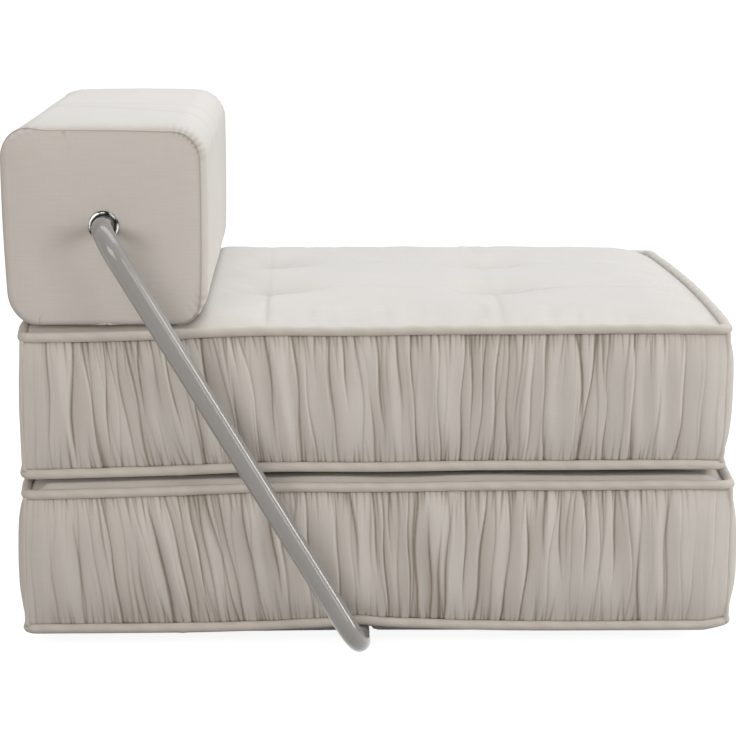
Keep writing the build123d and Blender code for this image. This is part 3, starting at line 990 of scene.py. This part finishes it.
def tuft(x, y, row, line):
    """One tuft: its dip with the folds that run out from it, its pit and the crease before it."""
    away = np.hypot(x - row, y - line)
    turn = np.arctan2(y - line, x - row)
    near = np.exp(-(((away - 20 * MM) / (20 * MM)) ** 2))
    dip = 1 / (1 + (away / (30 * MM)) ** 2) ** 1.1
    dip = dip + 0.085 * np.sin(5 * turn + 2 * row * 9) * near
    dip = dip + 0.050 * np.abs(np.cos(4.5 * turn + 31 * line + 5 * row)) * near
    pit = np.exp(-(((x - row) / (20 * MM)) ** 2) - ((y - line + 5 * MM) / (7 * MM)) ** 2)
    bent = line - 17 * MM + 15 * MM * ((x - row) / (48 * MM)) ** 2
    before = np.exp(-(((y - bent) / (3 * MM)) ** 2) - ((x - row) / (42 * MM)) ** 2)
    return np.array((dip, pit, before))


def tufts(x, y):
    """The dips, the pits and the creases of all four tufts."""
    lines = (-tuft_half_spread, tuft_half_spread)
    return sum(tuft(x, y, row, line) for row in tuft_rows for line in lines)


# %% [markdown]
# From the front edge of the bolster forward the seat is free to swell. Under the bolster it lies flat, level
# with its welt, and the crown, the seams and the tufts start in front of that.

# %% The seat's height
seat_welt_top = upper.top + 2 * upper.welt
seat_run = 95 * MM
valley_depth = 2.0 * MM
groove_depth = 1.4 * MM
tuft_depth = 19 * MM
pit_depth = 6 * MM
crease_depth = 1.6 * MM
ripple_height = 0.5 * MM
bolster_low, bolster_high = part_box("bolster_wrap")
bolster_x = (bolster_low.x + bolster_high.x) / 2
bolster_z = (bolster_low.z + bolster_high.z) / 2
press_start = bolster_high.x - 39 * MM
press_end = bolster_high.x + 3 * MM


def seat_height(x, y):
    """The height of the seat's cloth, and the painted shade in its seams, tufts and creases."""
    edge = upper.top + 9 * MM
    crown = edge + (upper.crest + 1.5 * MM - edge) * edge_rise(upper, x, y, seat_run, 2.8)
    flat = edge + (seat_welt_top - 0.6 * MM - edge) * edge_rise(upper, x, y, 40 * MM, 2)
    pressed_share = 1 - smoothstep(x, press_start, press_end)
    crown = crown - 3 * MM * smoothstep(x, 0.20, 0.42)
    height = crown * (1 - pressed_share) + flat * pressed_share
    lively = smoothstep(x, press_start - 10 * MM, press_end + 30 * MM)
    lively = lively * edge_rise(upper, x, y, 50 * MM, 2)
    wide, fine = seams(x, y)
    dips, pits, creases = tufts(x, y)
    ripple = np.sin(41 * x + 6 * y) * np.sin(17 * y - 9 * x) + 0.7 * np.sin(67 * x - 29 * y + 1.1)
    height -= lively * (valley_depth * wide + groove_depth * fine)
    height -= lively * (tuft_depth * dips + pit_depth * pits + crease_depth * creases)
    height += lively * ripple_height * ripple
    # Painted shade in the seam grooves, the pits and dips of the tufts and the creases before them.
    painted_dark = 0.25 * fine + 0.5 * pits + 0.7 * creases + 0.22 * dips
    return height, np.clip(lively * painted_dark, 0, 1)


print("tuft rows at", [round(row, 3) for row in tuft_rows])

# %% [markdown]
# The drawn shape is only where the cloth starts. A coarse copy of it is held at the seams, at the tufts and
# under the bolster, and then filled like a cushion: twenty frames of cloth under pressure, without gravity.
# How far each point moved is capped, so the seat can't balloon, and is then added to the fine panel. Its
# highest parts are flattened a little, so the bolster clears them when the tube swings it to the front.

# %% Fill the seat like a cushion
swell_grid = (110, 96)
swell_cap = 8 * MM
swell_start = 3.4 * MM
filling_frames = 20


def hold_cover(cover, places):
    """Holds the cover's seams, its tufts and what lies under the bolster."""
    x, y, z = places.T
    from_x, from_y = inward(upper, x, y)
    held = (np.minimum(from_x, from_y) < 10 * MM) | (x < press_end + 8 * MM)
    for row in tuft_rows:
        held |= np.hypot(x - row, np.abs(y) - tuft_half_spread) < 13 * MM
    group = cover.vertex_groups.new(name="held")
    group.add([int(index) for index in np.nonzero(held)[0]], 1.0, "REPLACE")


def fill_cover(cover):
    """Lets the cover swell and gives the places that its points reach."""
    filling = cover.modifiers.new("filling", "CLOTH")
    cloth = filling.settings
    cloth.quality = 4
    cloth.mass = 0.3
    cloth.bending_stiffness = 0.05
    cloth.shrink_min = -0.006
    cloth.use_pressure = True
    cloth.uniform_pressure_force = 4
    cloth.vertex_group_mass = "held"
    cloth.effector_weights.gravity = 0
    filling.point_cache.frame_start, filling.point_cache.frame_end = 1, filling_frames
    for number in range(1, filling_frames + 1):
        scene.frame_set(number)
    reached = cover.evaluated_get(bpy.context.evaluated_depsgraph_get())
    places = coordinates_of(reached.data)
    scene.frame_set(1)
    return places


print("the cover has", swell_grid[0] * swell_grid[1], "faces")

# %% [markdown]
# ## What the filling moved
# The moves become a small table over the panel's shares, and the fine panel reads it between its points.

# %% Read off how far the cover moved
def swell_field():
    """How far the filled cover moved, as a table over the panel's shares."""
    made = share_grid(*swell_grid)
    shares = np.array([vert.co for vert in made.verts])
    x, y = panel_place(upper, shares[:, 0], shares[:, 1])
    start = stack(x, y, seat_height(x, y)[0])
    mesh = bpy.data.meshes.new("cover")
    made.to_mesh(mesh)
    made.free()
    cover = bpy.data.objects.new("cover", mesh)
    scene.collection.objects.link(cover)
    place_points(cover, start)
    hold_cover(cover, start)
    moved = fill_cover(cover) - start
    bpy.data.objects.remove(cover)
    size = np.linalg.norm(moved, axis=1, keepdims=True)
    moved *= swell_cap * np.tanh(size / swell_cap) / np.maximum(size, 0.001 * MM)
    beyond = smoothstep(x, press_end, press_end + 80 * MM)
    moved *= beyond[:, None]
    moved[:, 2] -= swell_start * beyond * edge_rise(upper, x, y, 70 * MM, 2)
    order = np.lexsort((shares[:, 0], shares[:, 1]))
    return moved[order].reshape(swell_grid[1] + 1, swell_grid[0] + 1, 3)


def read_field(field, along, across):
    """The field between its points."""
    column = np.clip(along * swell_grid[0], 0, swell_grid[0] - 0.001)
    row = np.clip(across * swell_grid[1], 0, swell_grid[1] - 0.001)
    left, low = column.astype(int), row.astype(int)
    right_part, high_part = (column - left)[:, None], (row - low)[:, None]
    lower_row = field[low, left] * (1 - right_part) + field[low, left + 1] * right_part
    upper_row = field[low + 1, left] * (1 - right_part) + field[low + 1, left + 1] * right_part
    return lower_row * (1 - high_part) + upper_row * high_part


swelling = None
field = swell_field()
swelling = partial(read_field, field)
lift = field[:, :, 2]
print("the seat filled by", round(float(lift.min()), 4), "to", round(float(lift.max()), 4))

# %% [markdown]
# ## The seat panel
# The fine panel takes its drawn shape, adds what the cover moved, and then has its crest flattened.

# %% Make the seat panel
seat = panel(upper, "upper_top_panel", 300, 260, seat_height, upper.top, swelling)
seat_places = coordinates_of(seat.data)
shoulder, room = upper.crest - 2 * MM, 5.2 * MM
over = np.clip(seat_places[:, 2] - shoulder, 0, None)
seat_places[:, 2] += room * np.tanh(over / room) - over
place_points(seat, seat_places)
settle(seat, upper)
print("seat crest at", round(max(vert.co.z for vert in seat.data.vertices), 4))

# %% [markdown]
# ## The bolster
# The bolster is a long foam block with rounded edges in a slubby cover. A wrap goes round its four sides and
# rolls over both ends, where a soft end panel closes it with a fine sewn ridge. All of them share one
# section, given as a place for each share of a turn, drawn in by some inset.

# %% The bolster's section
half_depth = (bolster_high.x - bolster_low.x) / 2
half_height = (bolster_high.z - bolster_low.z) / 2
bolster_corner = 45 * MM
bolster_bow = 2.5 * MM
bolster_taper = 9 * MM


def section(turn_share, inset):
    """Places in x and z of the rounded square, drawn in by an inset, and the way out at each."""
    x, z, facing, total = rounded_outline(half_depth, half_height, bolster_corner, turn_share)
    sink_x = bolster_bow * (z / half_height) ** 2 * np.clip(np.abs(x) / half_depth, 0, 1) ** 3
    sink_z = bolster_bow * (x / half_depth) ** 2 * np.clip(z / half_height, 0, 1) ** 3
    lean = np.clip(0.5 - z / (2 * half_height), 0, 1)
    x = x - np.sign(x) * sink_x + bolster_taper * lean**1.2 * np.clip(-x / half_depth, 0, 1)
    z = z - sink_z
    out_x, out_z = np.cos(facing), np.sin(facing)
    return x - inset * out_x + bolster_x, z - inset * out_z + bolster_z, out_x, out_z


# %% [markdown]
# ## The wrap
# The cloth round the four sides turns in over both ends as far as the seam, which lies further round the
# soft edge above than below. Small puckers gather at the corners, and two faint folds cross the top.

# %% Where the seam lies and what draws the cloth in
bolster_half = 0.440
end_round = 11 * MM
eyelet_low, eyelet_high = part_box("eyelet_near")
axis_x = (eyelet_low.x + eyelet_high.x) / 2
axis_z = (eyelet_low.z + eyelet_high.z) / 2
eyelet_outer = (eyelet_high.x - eyelet_low.x) / 2


def seam_turn(around):
    """How far round the end's soft edge the seam lies: at its start below, nearly through it above."""
    x, z, out_x, out_z = section(around, 0.0)
    angle = np.arctan2(z - bolster_z, x - bolster_x)
    shown = smoothstep(np.cos(angle - math.radians(42)), -0.15, 0.25)
    knot = np.exp(-(((x - axis_x) / (16 * MM)) ** 2)) * (z < axis_z)
    return np.radians(72 + 8 * np.cos(angle)) * shown + 0.7 * knot


def round_edge(turned):
    """The inset and the place along the bolster of a point that lies some way round the end's edge."""
    return end_round * (1 - np.cos(turned)), bolster_half - end_round * (1 - np.sin(turned))


def corner_share(x, z):
    """One near the bolster's rounded edges and nothing on its flats."""
    over_x = np.clip((np.abs(x - bolster_x) - (half_depth - 60 * MM)) / (30 * MM), 0, 1)
    over_z = np.clip((np.abs(z - bolster_z) - (half_height - 60 * MM)) / (30 * MM), 0, 1)
    return over_x * over_z


def corner_beat(around):
    """The uneven beat of the small puckers at a corner, from 0 to 1."""
    return np.abs(np.sin(around * 2 * math.pi * 44 + 1.7 * np.sin(around * 40))) ** 3


def top_folds(x, y, z):
    """Two faint folds across the top, one aslant and one nearly straight."""
    aslant = np.abs(y + 0.075 + 0.75 * (x - bolster_x)) / (7 * MM)
    straight = np.abs(y - 0.02 - 0.02 * np.sin(9 * x)) / (8 * MM)
    on_top = z > bolster_z + 0.5 * half_height
    return on_top * (np.exp(-aslant) + 0.6 * np.exp(-straight))


print("the bolster is", round(2 * bolster_half, 3), "long")

# %% [markdown]
# ## Sewing the wrap
# The rule walks round the section and along the bolster, and what is past the level part turns in round the
# end's edge. The grid is welded into a tube and gets a wall, so the cloth has a thickness.

# %% Make the wrap
wrap_waves = ((7, 3.1, 0.5), (13, -5.2, 0.35), (4, 9.4, 0.45), (21, 14.0, 0.2))
pucker_depth = 3.0 * MM
top_fold_depth = 1.0 * MM
seam_dip = 1.2 * MM


def wrap_rule(around, along):
    """The cloth round the four sides, which turns in at both ends as far as the seam."""
    reach = crowd(along, 0.14) * 2 - 1
    level = bolster_half - end_round
    last = seam_turn(around)
    travel = np.abs(reach) * (level + end_round * last)
    inset, turned_y = round_edge(np.clip(travel - level, 0, None) / end_round)
    y = np.sign(reach) * np.where(travel < level, travel, turned_y)
    x, z, out_x, out_z = section(around, inset)
    from_seam = level + end_round * last - travel
    pinch = corner_share(x, z) * np.exp(-from_seam / (17 * MM))
    beat = corner_beat(around)
    waves = sum(size * np.sin(count * 2 * math.pi * around + rate * y) for count, rate, size in wrap_waves)
    ends = 1 - np.exp(-from_seam / (40 * MM))
    top_line = top_folds(x, y, z)
    draw = pucker_depth * pinch * beat - 0.5 * MM * waves * ends + top_fold_depth * top_line
    draw = draw + seam_dip * np.exp(-from_seam / (1.5 * MM))
    keep_flat = np.clip((z - bolster_low.z) / (20 * MM), 0, 1)
    x = x - draw * out_x
    z = z - draw * out_z * keep_flat
    # Painted shade in the puckers at the corners and along the two folds across the top.
    return stack(x, y, z), np.clip(0.6 * pinch * beat + 0.18 * top_line, 0, 1)


wrap = share_grid(320, 150)
shape(wrap, wrap_rule, (1.06, 0.90))
weld(wrap)
wrap_piece = dress("bolster_wrap_cloth", wrap, "bolster", "bolster_cloth", bolster_cloth, "bolster_wrap")
shell = wrap_piece.modifiers.new("wall", "SOLIDIFY")
shell.thickness = 4 * MM
shell.offset = -1
print("wrap faces:", len(wrap_piece.data.polygons))

# %% [markdown]
# ## The bolster's ends
# Each end panel runs from the eyelet's hole to the seam. It is crowned by a few millimetres, drawn in a
# little where the ring is pressed through it, and its slubs run level.

# %% How the ends are drawn in
ring_hole = 18.8 * MM
end_crown = 3.4 * MM
round_rows = 0.14


def wedges(angle, from_hole):
    """Two soft wedges down from the ring to both sides, where cloth is drawn in and painted shade lies."""
    both = np.exp(-(((angle + 0.50) / 0.28) ** 2)) + np.exp(-(((angle + 2.70) / 0.28) ** 2))
    return both * np.exp(-(((from_hole - 20 * MM) / (36 * MM)) ** 2))


def drawn_in(angle, from_hole):
    """How the ring draws the cloth in: all round it, in puckers and in the wedges."""
    near = 1.4 * MM * np.exp(-from_hole / (8 * MM))
    puckers = 0.45 * MM * np.abs(np.sin(4.5 * angle + 0.7)) * np.exp(-from_hole / (13 * MM))
    return near + puckers + 4.0 * MM * wedges(angle, from_hole)


def single_pucker(x, z):
    """One deeper pucker in the seam above, where the photograph shows it."""
    return np.exp(-(((x - axis_x + 54 * MM) / (1.6 * MM)) ** 2)) * (z > axis_z)


print("ring hole", ring_hole, "at", round(axis_x, 4), round(axis_z, 4))

# %% [markdown]
# ## Sewing the end panels
# One share runs round the end and the other from the seam inward. The first rows go on round the soft edge
# from the seam, and the rest runs flat to the hole. Rows lie closest at the edge, where the puckers are.

# %% Make the end panels
def end_panel(side_name, side):
    """A ring of cloth from the hole to the seam, padded by a thin wall."""
    made = share_grid(300, 100)

    def rule(around, inward_share):
        first = seam_turn(around)
        turned = first + (math.pi / 2 - first) * np.clip(inward_share / round_rows, 0, 1)
        inset, y = round_edge(turned)
        x_edge, z_edge, out_x, out_z = section(around, inset)
        angle = np.arctan2(z_edge - axis_z, x_edge - axis_x)
        share = np.clip((inward_share - round_rows) / (1 - round_rows), 0, 1) ** 1.3
        x = x_edge + (axis_x + ring_hole * np.cos(angle) - x_edge) * share
        z = z_edge + (axis_z + ring_hole * np.sin(angle) - z_edge) * share
        from_edge = np.hypot(x - x_edge, z - z_edge)
        from_seam = from_edge + end_round * (turned - first)
        from_hole = np.hypot(x - axis_x, z - axis_z) - ring_hole
        crown = end_crown * (1 - np.exp(-from_edge / (22 * MM)))
        beat = corner_beat(around)
        pinch = 1.2 * MM * beat * corner_share(x, z) * np.exp(-from_seam / (10 * MM))
        single = single_pucker(x_edge, z_edge)
        pinch = pinch + 0.9 * MM * single * np.exp(-from_seam / (9 * MM))
        waves = 0.5 * MM * np.sin(11 * x + 17 * z) * np.clip(from_hole / (30 * MM), 0, 1)
        out = y + crown - drawn_in(angle, from_hole) - pinch + waves
        # Painted shade: faint over the whole end, more in the corner puckers, the wedges and the single
        # pucker.
        painted_dark = 0.10 + 0.5 * beat * corner_share(x, z) * np.exp(-from_seam / (4 * MM))
        painted_dark = painted_dark + 0.22 * wedges(angle, from_hole) + 0.8 * single * np.exp(-from_seam / (7 * MM))
        return stack(x, side * out, z), np.clip(painted_dark, 0, 1)

    shape(made, rule, (1, 1))
    lay_flat(made, 0, 2)
    weld(made)
    node = "bolster_end_" + side_name
    piece = dress(node + "_cloth", made, "bolster", "bolster_cloth", bolster_cloth, node)
    if piece.data.polygons[0].normal.y * side < 0:
        piece.data.flip_normals()
    wall = piece.modifiers.new("wall", "SOLIDIFY")
    wall.thickness = 2.5 * MM
    wall.offset = -1


end_panel("near", -1)
end_panel("far", 1)
print("two end panels, crowned by", end_crown)

# %% [markdown]
# ## The sewn ridge
# Where wrap and end panel meet, the seam stands up as a ridge finer than a pencil line. Its ends meet below
# the eyelet in three small lumps.

# %% Make the end seams
ridge_radius = 0.9 * MM


def end_seams():
    """One thin closed cord at each end."""
    whole = empty_cloth()
    for side in (-1, 1):
        made = share_grid(700, 8)

        def rule(around, turn_share):
            first = seam_turn(around)
            inset, y_mid = round_edge(first)
            x_mid, z_mid, out_x, out_z = section(around, inset)
            below = z_mid < axis_z
            places = (-5 * MM, 2 * MM, 8 * MM)
            lumps = sum(np.exp(-(((x_mid - axis_x + place) / (2.2 * MM)) ** 2)) for place in places)
            radius = ridge_radius * (1 + 1.8 * lumps * below)
            turn = 2 * math.pi * turn_share
            rise, slip = radius * np.cos(turn) + 0.4 * MM, radius * np.sin(turn)
            radial = rise * np.cos(first) - slip * np.sin(first)
            x = x_mid + radial * out_x
            z = np.maximum(z_mid + radial * out_z, bolster_low.z + 0.1 * MM)
            y = side * (y_mid + rise * np.sin(first) + slip * np.cos(first))
            # Painted shade along the whole ridge.
            return stack(x, y, z), np.full_like(x, 0.30)

        shape(made, rule, (1.0, 9 * MM))
        weld(made)
        add_to(whole, made)
    dress("bolster_end_seams_cloth", whole, "bolster", "welt_cloth", welt_cloth, "bolster_end_seams")


end_seams()
print("ridges", round(2 * ridge_radius, 4), "thick")

# %% [markdown]
# ## The eyelets
# A pressed chrome ring has a rolled flange and a barrel that goes through the panel. Half of its profile is
# drawn as a few points and spun round the tube's axis.

# %% Spin the eyelets
ring_bore = 16.3 * MM
barrel_wall = 1.0 * MM
flange_rise = 3.4 * MM
flange_steps = 12


def eyelet(side_name, side):
    """A ring spun from a round-nosed profile."""
    low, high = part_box("eyelet_" + side_name)
    face = bolster_half + 3.0 * MM
    inner = min(abs(low.y), abs(high.y))
    middle, roll = (ring_bore + eyelet_outer) / 2, (eyelet_outer - ring_bore) / 2
    made = bmesh.new()
    profile = [(ring_bore, inner)]
    for step in range(flange_steps + 1):
        angle = math.pi * step / flange_steps
        profile.append((middle - roll * math.cos(angle), face + flange_rise * math.sin(angle)))
    profile.append((ring_bore + barrel_wall, face))
    profile.append((ring_bore + barrel_wall, inner))
    verts = [made.verts.new((axis_x + out, side * y, axis_z)) for out, y in profile]
    edges = [made.edges.new((verts[i], verts[(i + 1) % len(verts)])) for i in range(len(verts))]
    bmesh.ops.spin(
        made, geom=verts + edges, cent=(axis_x, 0, axis_z), axis=(0, 1, 0), angle=2 * math.pi,
        steps=96, use_merge=True
    )
    bmesh.ops.remove_doubles(made, verts=made.verts, dist=0.005 * MM)
    node = "eyelet_" + side_name
    dress(node + "_ring", made, "bolster", "eyelet_chrome", chrome, node)


eyelet("near", -1)
eyelet("far", 1)
print("eyelet", round(2 * eyelet_outer, 4), "across")

# %% [markdown]
# ## Foam of the bolster
# The foam inside follows the same section and leaves room for the sleeve and the tube.

# %% Make the bolster's foam
def bolster_foam():
    """A closed ring of foam: outer section, two ends and the bore for the sleeve."""
    made = share_grid(120, 4)
    bore = 17.4 * MM
    end = bolster_half - 12 * MM
    ring_plan = ((0, -end), (6.5 * MM, -end), (6.5 * MM, end), (0, end))

    def rule(around, step):
        x_out, z_out, out_x, out_z = section(around, 7 * MM)
        angle = np.arctan2(z_out - axis_z, x_out - axis_x)
        place = np.round(step * 4).astype(int) % 4
        outer = (place == 1) | (place == 2)
        x = np.where(outer, x_out, axis_x + bore * np.cos(angle))
        z = np.where(outer, z_out, axis_z + bore * np.sin(angle))
        y = np.choose(place, [plan[1] for plan in ring_plan])
        return stack(x, y, z)

    shape(made, rule, (1.0, 2.0))
    weld(made)
    piece = dress("bolster_foam_block", made, "bolster", "foam", foam, "bolster_foam")


bolster_foam()
print("bolster foam done")

# %% [markdown]
# ## Floor and light
# A white floor reaches past the view. It is lifted to white only for the camera and for glossy rays, so the
# lamps can stay at the level at which a colour renders as it is written, and a soft shadow still grounds
# the piece.

# %% Lay the floor
floor_mesh = bmesh.new()
bmesh.ops.create_grid(floor_mesh, x_segments=1, y_segments=1, size=90)
floor_data = bpy.data.meshes.new("floor")
floor_mesh.to_mesh(floor_data)
floor_mesh.free()
floor = bpy.data.objects.new("floor", floor_data)
floor.location.z = -0.4 * MM
scene.collection.objects.link(floor)

white = Finish("floor_white", Roughness=0.9, Specular_IOR_Level=0.0, Base_Color=(0.42, 0.42, 0.42, 1))
glow = white.node(
    "ShaderNodeEmission", {}, {"Color": (1, 1, 1, 1), "Strength": white.seen_rays() * 0.9}
)
both = white.node("ShaderNodeAddShader", {}, {0: glow, 1: Wire(white, white.shader.outputs[0])})
white.tree.links.new(both.socket, white.tree.nodes["Material Output"].inputs["Surface"])
floor_data.materials.append(white.material)
print("floor laid")

# %% [markdown]
# ## Four lamps
# A large cool lamp above lights the seat, and a tall one in front of the mattresses gives the pleats their
# pale sides. A strip at the near right draws the line of light on the tube, and a warm lamp by the camera
# fills the near side.

# %% Set the lights
def soft_lamp(name, place, aim, size, power, colour=(1, 1, 1)):
    """A large rectangular lamp that looks at a point."""
    data = bpy.data.lights.new(name, "AREA")
    data.shape = "RECTANGLE"
    data.size, data.size_y = size
    data.energy = power
    data.color = colour
    lamp = bpy.data.objects.new(name, data)
    lamp.location = place
    lamp.rotation_euler = (Vector(aim) - Vector(place)).to_track_quat("-Z", "Y").to_euler()
    scene.collection.objects.link(lamp)


soft_lamp("top_lamp", (0.3, 0.5, 2.9), (0, 0, 0.3), (3.0, 2.6), 47, (0.88, 0.95, 1.0))
soft_lamp("front_lamp", (3.2, -0.9, 1.2), (0.1, 0, 0.4), (0.8, 2.0), 34, (1.0, 0.98, 0.95))
soft_lamp("near_strip", (2.6, -3.0, 1.3), (-0.2, -0.4, 0.35), (0.35, 2.0), 12, (1.0, 0.96, 0.90))
soft_lamp("fill_lamp", (-1.4, -3.6, 1.6), (0, 0, 0.35), (2.2, 1.6), 36, (1.0, 0.93, 0.85))

# %% [markdown]
# ## The room
# The world lights the piece from all round with a weak warm light, and is white only where it is seen.

# %% Set the world
world = bpy.data.worlds.new("studio")
scene.world = world
world.use_nodes = True
studio = Graph(world.node_tree)
ambient = 0.40
seen = studio.seen_rays()
background = studio.tree.nodes["Background"]
tint = studio.mix(seen, (1.0, 0.95, 0.90, 1), (1, 1, 1, 1))
strength = seen * (1 - ambient) + ambient
studio.tree.links.new(tint.socket, background.inputs["Color"])
studio.tree.links.new(strength.socket, background.inputs["Strength"])
print("ambient light", ambient)

# %% [markdown]
# ## Close the lesson
# The view transform is Standard, so that colours come out as they are written.

# %% Finish
scene.view_settings.view_transform = "Standard"
